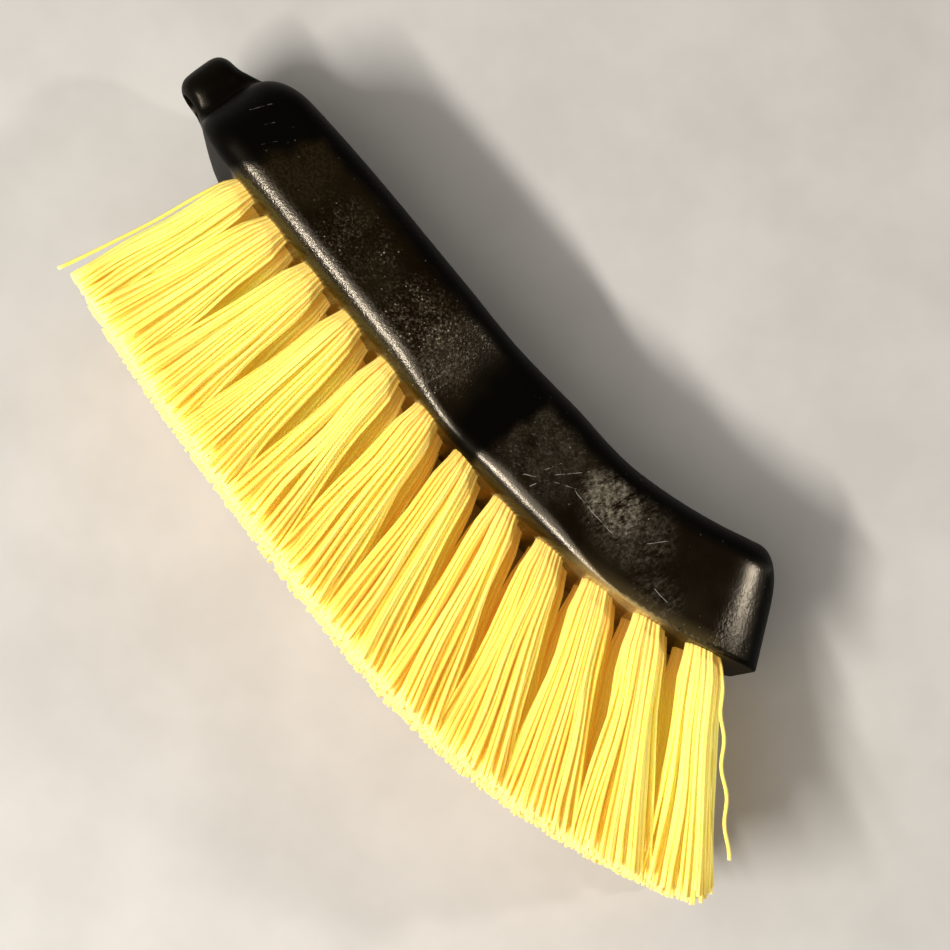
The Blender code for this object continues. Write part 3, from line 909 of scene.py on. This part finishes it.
class Surface:
    """One material, whose nodes are added by node()."""

    def __init__(self, name):
        self.material = bpy.data.materials.new(name)
        self.material.use_nodes = True
        self.tree = self.material.node_tree
        self.shader = self.tree.nodes["Principled BSDF"]

    def node(self, kind, settings=None, values=None, output=0):
        item = self.tree.nodes.new(kind)
        for key, setting in (settings or {}).items():
            setattr(item, key, setting)
        for key, value in (values or {}).items():
            self.feed(item.inputs[key], value)
        return Value(self, item.outputs[output])

    def feed(self, socket, value):
        if isinstance(value, Value):
            self.tree.links.new(value.socket, socket)
        else:
            socket.default_value = value

    def fill(self, shader, values):
        for key, value in values.items():
            self.feed(shader.inputs[key.replace("_", " ")], value)

    def finish(self, **values):
        self.fill(self.shader, values)
        return self.material

    def second_shader(self, share, **values):
        """Adds another finish, shown where the share is one."""
        other = self.tree.nodes.new("ShaderNodeBsdfPrincipled")
        self.fill(other, values)
        both = self.tree.nodes.new("ShaderNodeMixShader")
        self.feed(both.inputs[0], share)
        self.tree.links.new(self.shader.outputs[0], both.inputs[1])
        self.tree.links.new(other.outputs[0], both.inputs[2])
        self.tree.links.new(both.outputs[0], self.tree.nodes["Material Output"].inputs["Surface"])
        return self.material

    def place(self):
        """Object coordinates, which are places of the shared frame on every piece here."""
        return self.node("ShaderNodeTexCoord", output="Object")

    def parts(self, vector):
        split = self.node("ShaderNodeSeparateXYZ", {}, {"Vector": vector}).socket.node
        return [Value(self, split.outputs[axis]) for axis in "XYZ"]

    def noise(self, vector, scale, detail=2.0, roughness=0.5):
        return self.node("ShaderNodeTexNoise", {},
                         {"Vector": vector, "Scale": scale, "Detail": detail, "Roughness": roughness})

    def stretched(self, vector, turn, stretch):
        """Coordinates in which a pattern is drawn out along the turn's direction in the plan view."""
        return self.node("ShaderNodeMapping", {"vector_type": "TEXTURE"},
                         {"Vector": vector, "Rotation": (0.0, 0.0, turn), "Scale": (stretch, 1.0, 1.0)})

    def mix(self, share, first, second):
        return self.node("ShaderNodeMix", {"data_type": "RGBA"}, {0: share, 6: first, 7: second}, output=2)

    def attribute(self, name):
        return self.node("ShaderNodeAttribute", {"attribute_name": name}, output="Fac")

    def bump(self, height, strength, distance, normal=None):
        values = {"Height": height, "Strength": strength, "Distance": distance}
        if normal:
            values["Normal"] = normal
        return self.node("ShaderNodeBump", {}, values)


def segment_distance(x, y, start, end):
    """The distance from a point in the plan view to a straight mark between two places: a scratch, and on
    the dome a painted glint.
    """
    run = (end[0] - start[0], end[1] - start[1])
    length = math.hypot(*run)
    unit = (run[0] / length, run[1] / length)
    along = (x - start[0]) * unit[0] + (y - start[1]) * unit[1]
    beside = abs((x - start[0]) * unit[1] - (y - start[1]) * unit[0])
    beyond = abs(along - 0.5 * length) - 0.5 * length
    return beside.larger(beyond)


# Scratches on the block's upper side, the last list painted glints on the dome: both their ends in the plan
# view, in millimetres
LONG_SCRATCHES = (
    ((23.2, 22.1), (30.8, 22.0)), ((30.8, 22.0), (37.8, 22.7)), ((43.5, 26.0), (47.1, 32.0)),
    ((17.3, 20.7), (22.0, 27.9)), ((17.8, 19.0), (23.1, 22.5)), ((54.0, 21.9), (58.3, 22.2)))
DASHES = (
    ((12.2, 14.7), (14.8, 16.7)), ((15.6, 14.2), (16.1, 15.6)), ((14.8, 19.7), (16.1, 23.6)))
DOME_GLINTS = (
    ((-101.4, 19.7), (-99.1, 24.9)), ((-95.5, 20.1), (-94.7, 22.5)), ((-92.0, 16.4), (-90.3, 20.0)))
MARK_HALF_WIDTH = 0.00005


def scratch_and_glint_marks(x, y, lines):
    """One along the middles of the scratches and painted glints, falling to nothing beside them."""
    marks = None
    for line in lines:
        start, end = [(across / 1000.0, up / 1000.0) for across, up in line]
        distance = segment_distance(x, y, start, end)
        mark = 1.0 - distance.step(MARK_HALF_WIDTH, 2.5 * MARK_HALF_WIDTH)
        marks = mark if marks is None else marks.larger(mark)
    return marks


def hairlines(surface, place, turn):
    """Fine random scratches that run one way: the lines where a stretched noise has its middle value."""
    flow = surface.noise(surface.stretched(place, turn, 10.0), 420.0, 2.0)
    return 1.0 - abs(flow - 0.5).step(0.004, 0.016)


def oval(x, y, middle, half_length, half_width):
    """One in the middle of an oval in the plan view, falling to nothing at its rim."""
    along = (x - middle[0]) / half_length
    beside = (y - middle[1]) / half_width
    return 1.0 - (along * along + beside * beside).step(0.1, 1.0)


def scattered_specks(surface, place, scale, radius, chosen):
    """Small round specks of uneven brightness, one in each cell whose random value is under chosen."""
    distance = surface.node("ShaderNodeTexVoronoi", {}, {"Vector": place, "Scale": scale})
    colour = Value(surface, distance.socket.node.outputs["Color"])
    lot, glint = surface.parts(colour)[:2]
    speck = 1.0 - distance.step(0.4 * radius, radius)
    return speck * (1.0 - (lot - chosen).step(-0.04, 0.04)) * (0.2 + 0.8 * glint * glint)


# Ovals on the block's upper side: the grip, finger, heel and waist ovals are painted sheen, the scuff and
# toe ovals real rubbed wear; the middle in the plan view, half the length and half the width
GRIP_SHEEN = ((-0.0300, 0.0175), 0.0200, 0.0140)
FINGER_SHEEN = ((-0.0580, 0.0195), 0.0170, 0.0100)
HEEL_SHEEN = ((-0.0850, 0.0190), 0.0170, 0.0150)
WAIST_SHEEN = ((0.0110, 0.0220), 0.0170, 0.0150)
SCUFF = ((0.0318, 0.0272), 0.0115, 0.0080)
SCUFF_BORDER = ((0.0370, 0.0275), 0.0170, 0.0120)
TOE_RUB = ((0.0560, 0.0210), 0.0090, 0.0070)

# The plastic's colours, and the slight warmth of its reflections
DEEP_BLACK = (0.0032, 0.0016, 0.0003, 1.0)
SMUDGED_BLACK = (0.0056, 0.0034, 0.0009, 1.0)
# painted shade: the matte black laid where the block should show no reflection
SHADED_MATTE_BLACK = (0.0011, 0.0009, 0.0006, 1.0)
# painted sheen on the heel's upper side
HEEL_SHEEN_BROWN = (0.0125, 0.0088, 0.0034, 1.0)
# painted sheen speckle, partly real scuffing
SHEEN_AND_SCUFF_GREY = (0.080, 0.062, 0.034, 1.0)
# the scuff's grey, also used for the waist's painted sheen
SCUFF_AND_SHEEN_GREY = (0.145, 0.126, 0.090, 1.0)
# painted bounce light from the bristles
BOUNCE_GOLD = (0.300, 0.215, 0.085, 1.0)
# grey of the scratches, also of the painted glints
SCRATCH_AND_GLINT_GREY = (0.42, 0.395, 0.35, 1.0)
SHADED_SCRATCH_AND_GLINT_GREY = (0.30, 0.27, 0.22, 1.0)
WARM_GLOSS = (1.0, 0.88, 0.70, 1.0)


def scratches(surface, place, x, y, broken):
    """The scratches of the first two lists and the painted glints on the dome of the third, a little
    crooked and broken up.
    """
    wobble = surface.noise(place, 300.0, 2.0) * 0.0008 - 0.0004
    long_marks = scratch_and_glint_marks(x + wobble, y + wobble, LONG_SCRATCHES) * broken.step(0.36, 0.60)
    dashes = scratch_and_glint_marks(x + wobble, y - wobble, DASHES) * broken.step(0.35, 0.60)
    dome_glints = scratch_and_glint_marks(x + wobble, y - wobble, DOME_GLINTS) * broken.step(0.42, 0.62)
    return (long_marks * 0.38).larger(dashes * 0.45).larger(dome_glints * 0.22)


def black_plastic():
    surface = Surface("black_plastic")
    place = surface.place()
    x, y, z = surface.parts(place)
    on_top = z.step(0.030, 0.036)
    # painted shade: where this is one, the second finish's matte, almost unreflecting black replaces the
    # polish
    dull = surface.attribute("dull")
    unshaded_polish = (1.0 - dull).clamped()

    pebble = surface.noise(place, 2300.0, 2.0, 0.6)
    grit = surface.noise(place, 1350.0, 2.0, 0.6)
    waviness = surface.noise(place, 120.0, 2.0)
    smudge = surface.noise(place, 45.0, 4.0, 0.6)
    cloud = surface.noise(place, 160.0, 5.0, 0.72)
    flow = surface.noise(surface.stretched(place, 1.45, 2.5), 1100.0, 4.0, 0.7)
    broken = surface.noise(place, 600.0, 2.0)

    rough_cast = ((1.0 - x.step(-0.020, 0.0)) * x.step(-0.100, -0.085)).larger(x.step(0.064, 0.072))
    # painted sheen: the grip, finger, heel and waist ovals lighten the polished upper side where it would
    # catch light
    grip_sheen = oval(x, y, *GRIP_SHEEN).larger(oval(x, y, *FINGER_SHEEN) * 0.40) * unshaded_polish * on_top
    heel_sheen = oval(x, y, *HEEL_SHEEN) * unshaded_polish * on_top
    waist_sheen = oval(x, y, *WAIST_SHEEN) * unshaded_polish * on_top
    scuff = oval(x, y, *SCUFF).larger(oval(x, y, *SCUFF_BORDER) * 0.26) * on_top
    toe_rub = oval(x, y, *TOE_RUB) * on_top
    # the scuff's and the toe's haze is real wear, the waist oval's part is painted sheen
    scuff_haze_and_sheen = scuff * (0.35 * cloud + 0.65 * flow).step(0.38, 0.62)
    scuff_haze_and_sheen = scuff_haze_and_sheen.larger(toe_rub * 0.2 * flow.step(0.40, 0.70))
    scuff_haze_and_sheen = scuff_haze_and_sheen.larger(waist_sheen * 0.20 * cloud.step(0.30, 0.80)).clamped()
    clumps = 0.35 + 0.65 * cloud.step(0.40, 0.62)
    # painted sheen of the grain on the grip, with the scuff's real haze
    sheen_and_scuff_speckle = (grip_sheen * clumps).larger(scuff_haze_and_sheen * 0.6)

    fine = hairlines(surface, place, 0.9).larger(hairlines(surface, place, -0.5))
    fine = fine * broken.step(0.45, 0.65) * (scuff_haze_and_sheen * 0.8).larger(waist_sheen * 0.12)
    # painted glints: the grain catching the light on the sheen
    grain_glints = (pebble * 0.5 + grit * 0.5).step(0.56, 0.68) * sheen_and_scuff_speckle.larger(waist_sheen * 0.15)
    # painted glints of the grain on the grip's sheen, and real pits in the waist and scuff
    specks = scattered_specks(surface, place, 1000.0, 0.28, 0.32 * sheen_and_scuff_speckle).larger(
        scattered_specks(surface, place, 700.0, 0.20, 0.05 * waist_sheen.larger(scuff)))
    # the real scratches, hairlines and pits, with the painted glints of the grain and the dome
    wear_and_glints = scratches(surface, place, x, y, broken) * on_top
    wear_and_glints = wear_and_glints.larger(fine * 0.45).larger(specks * 0.6 * on_top).larger(grain_glints * 0.30).clamped()

    base = surface.mix(smudge.step(0.35, 0.70), DEEP_BLACK, SMUDGED_BLACK)
    # painted sheen: the heel's upper side turns lighter brown
    base = surface.mix(heel_sheen * (0.2 + 0.8 * grit.step(0.38, 0.66)), base, HEEL_SHEEN_BROWN)
    # painted sheen speckle, partly the scuff's real haze
    colour = surface.mix(sheen_and_scuff_speckle * grit.step(0.40, 0.68) * 0.46, base, SHEEN_AND_SCUFF_GREY)
    colour = surface.mix(scuff_haze_and_sheen * (0.30 + 0.70 * grit.step(0.3, 0.7)), colour, SCUFF_AND_SHEEN_GREY)
    # painted bounce light: the bristles' gold on the hole rims and the toe's lower edge
    colour = surface.mix(surface.attribute("rim") * (0.6 + 0.4 * grit), colour, BOUNCE_GOLD)
    colour = surface.mix(wear_and_glints, colour, SCRATCH_AND_GLINT_GREY)
    roughness = 0.20 + 0.08 * smudge.step(0.3, 0.7) + 0.20 * scuff_haze_and_sheen + 0.06 * sheen_and_scuff_speckle + 0.2 * wear_and_glints
    grain = surface.bump(pebble, 1.0, 0.00005)
    gritty = surface.bump(grit * rough_cast, 1.0, 0.00011, grain)
    dents = surface.bump(waviness, 0.25, 0.0004, gritty)
    cuts = surface.bump(1.0 - wear_and_glints, 0.3, 0.00005, dents)
    # painted shade: the matte, almost unreflecting black, with the scratches and painted glints in grey
    shaded_matte = surface.mix(wear_and_glints, SHADED_MATTE_BLACK, SHADED_SCRATCH_AND_GLINT_GREY)
    surface.finish(Base_Color=colour, Roughness=roughness, Normal=cuts, Specular_IOR_Level=0.50,
                   Specular_Tint=WARM_GLOSS)
    return surface.second_shader(dull, Base_Color=shaded_matte, Roughness=0.42 + 0.10 * smudge, Normal=cuts,
                                 Specular_IOR_Level=0.03, Specular_Tint=WARM_GLOSS)


# The bristles' colours, and a painted glow: emission that stands in for the light that comes through them
# where they stand close together
LEMON = (1.0, 0.95, 0.22, 1.0)
GOLDEN = (1.0, 0.53, 0.055, 1.0)
PATCH_YELLOW = (1.0, 0.76, 0.10, 1.0)
ROOT_AMBER = (1.0, 0.62, 0.19, 1.0)
FAR_YELLOW = (1.0, 0.72, 0.13, 1.0)
TIP_CREAM = (1.0, 0.72, 0.28, 1.0)
GLOW_YELLOW = (1.0, 0.76, 0.13, 1.0)
GLOW_AMBER = (1.0, 0.54, 0.06, 1.0)
BRISTLE_GLOW = 0.10


def yellow_bristle():
    surface = Surface("yellow_bristle")
    along = surface.attribute("along")
    tint = surface.attribute("tint")
    place = surface.place()
    patchy = surface.noise(place, 220.0, 2.0)

    # the tint turns the bristles golden, partly as painted shade
    body = surface.mix(tint.step(0.15, 1.05), LEMON, GOLDEN)
    body = surface.mix(patchy.step(0.50, 0.80) * 0.25, body, PATCH_YELLOW)
    root = 1.0 - along.step(0.08, 0.34)
    colour = surface.mix(root * 0.75, body, ROOT_AMBER)
    far_end = along.step(0.60, 0.97)
    colour = surface.mix(far_end * 0.70, colour, FAR_YELLOW)
    tip = along.step(0.970, 1.0)
    colour = surface.mix(tip * 0.7, colour, TIP_CREAM)
    roughness = 0.33 + 0.14 * patchy + 0.25 * tip
    # painted light: the bristles glow by emission, in deeper amber where the tint is golden
    through = surface.mix(tint, GLOW_YELLOW, GLOW_AMBER)
    return surface.finish(Base_Color=colour, Roughness=roughness, Subsurface_Weight=0.40,
                          Subsurface_Radius=(1.0, 0.70, 0.18), Subsurface_Scale=0.0015,
                          Emission_Color=through, Emission_Strength=BRISTLE_GLOW,
                          Normal=surface.bump(patchy, 0.1, 0.0002))


METAL_PALE = (0.62, 0.60, 0.56, 1.0)
METAL_DARK = (0.42, 0.40, 0.37, 1.0)


def anchor_metal():
    surface = Surface("anchor_metal")
    place = surface.place()
    dull = surface.noise(place, 900.0, 3.0)
    colour = surface.mix(dull, METAL_PALE, METAL_DARK)
    return surface.finish(Base_Color=colour, Roughness=0.30 + 0.25 * dull, Metallic=1.0,
                          Normal=surface.bump(dull, 0.2, 0.0001))


# The studio

WORLD_COLOUR = (1.0, 0.95, 0.88, 1.0)
WORLD_STRENGTH = 0.24
DARK_PATCH_STRENGTH = 0.01
DARK_PATCH_DIRECTION = (-0.10, 0.54, 0.83)
DARK_PATCH_INNER = math.radians(25.0)
DARK_PATCH_OUTER = math.radians(50.0)
FLOOR_HALF_SIZE = 3.0
FLOOR_DARK = (0.37, 0.358, 0.342, 1.0)
FLOOR_PALE = (0.42, 0.408, 0.392, 1.0)

# Lamps: name, place, target, size, power in watts and colour
LAMPS = (
    ("key", (-0.13, -0.57, 0.74), (0.0, 0.0, 0.0), (0.50, 0.055), 12.6, (1.0, 0.97, 0.92)),
    ("fill", (-0.12, -0.36, 0.92), (0.0, 0.0, 0.0), (0.70, 0.60), 4.0, (1.0, 0.96, 0.90)),
    ("toe_light", (0.47, 0.674, 0.525), (0.105, 0.04, 0.03), (0.07, 0.07), 3.4, (1.0, 0.95, 0.88)))

# The camera, fitted to the photograph
CAMERA_PLACE = (0.03526, -0.00957, 0.47881)
CAMERA_TURNS = (4.3672, 0.9717, 50.8994)
CAMERA_SENSOR_WIDTH = 36.0
CAMERA_LENS = 67.467
CAMERA_CLIP_START = 0.01


def floor_material():
    surface = Surface("studio_floor")
    place = surface.place()
    mottle = surface.noise(place, 18.0, 4.0, 0.6)
    colour = surface.mix(mottle.step(0.3, 0.7), FLOOR_DARK, FLOOR_PALE)
    return surface.finish(Base_Color=colour, Roughness=0.85)


def make_floor():
    shape = bmesh.new()
    bmesh.ops.create_grid(shape, x_segments=1, y_segments=1, size=FLOOR_HALF_SIZE)
    floor = mesh_object("studio_floor", shape)
    floor.data.materials.append(floor_material())


def make_lamp(name, place, target, size, watts, colour):
    lamp = bpy.data.lights.new(name, "AREA")
    lamp.shape = "RECTANGLE"
    lamp.size, lamp.size_y = size
    lamp.energy = watts
    lamp.color = colour
    item = bpy.data.objects.new(name, lamp)
    item.location = place
    item.rotation_euler = (Vector(target) - Vector(place)).to_track_quat("-Z", "Y").to_euler()
    bpy.context.scene.collection.objects.link(item)


def make_world():
    """An even dim surround with one dark patch, like a black card, that the block's upper side mirrors."""
    world = bpy.data.worlds.new("studio")
    world.use_nodes = True
    nodes = world.node_tree.nodes
    links = world.node_tree.links
    background = nodes["Background"]
    background.inputs["Color"].default_value = WORLD_COLOUR
    direction = nodes.new("ShaderNodeTexCoord")
    nearness = nodes.new("ShaderNodeVectorMath")
    nearness.operation = "DOT_PRODUCT"
    nearness.inputs[1].default_value = DARK_PATCH_DIRECTION
    strength = nodes.new("ShaderNodeMapRange")
    strength.interpolation_type = "SMOOTHSTEP"
    strength.inputs["From Min"].default_value = math.cos(DARK_PATCH_OUTER)
    strength.inputs["From Max"].default_value = math.cos(DARK_PATCH_INNER)
    strength.inputs["To Min"].default_value = WORLD_STRENGTH
    strength.inputs["To Max"].default_value = DARK_PATCH_STRENGTH
    links.new(direction.outputs["Generated"], nearness.inputs[0])
    links.new(nearness.outputs["Value"], strength.inputs["Value"])
    links.new(strength.outputs["Result"], background.inputs["Strength"])
    bpy.context.scene.world = world


def make_camera():
    camera_data = bpy.data.cameras.new("camera")
    camera_data.sensor_width = CAMERA_SENSOR_WIDTH
    camera_data.lens = CAMERA_LENS
    camera_data.clip_start = CAMERA_CLIP_START
    camera = bpy.data.objects.new("camera", camera_data)
    camera.location = CAMERA_PLACE
    camera.rotation_euler = Euler([math.radians(angle) for angle in CAMERA_TURNS], "XYZ")
    bpy.context.scene.collection.objects.link(camera)
    bpy.context.scene.camera = camera


def main():
    block = make_block()
    block.data.materials.append(black_plastic())
    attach(block, "root")
    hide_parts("block")
    make_tufts((yellow_bristle(), anchor_metal()))
    make_floor()
    make_world()
    for lamp in LAMPS:
        make_lamp(*lamp)
    make_camera()
    bpy.context.scene.view_settings.view_transform = "Standard"


main()
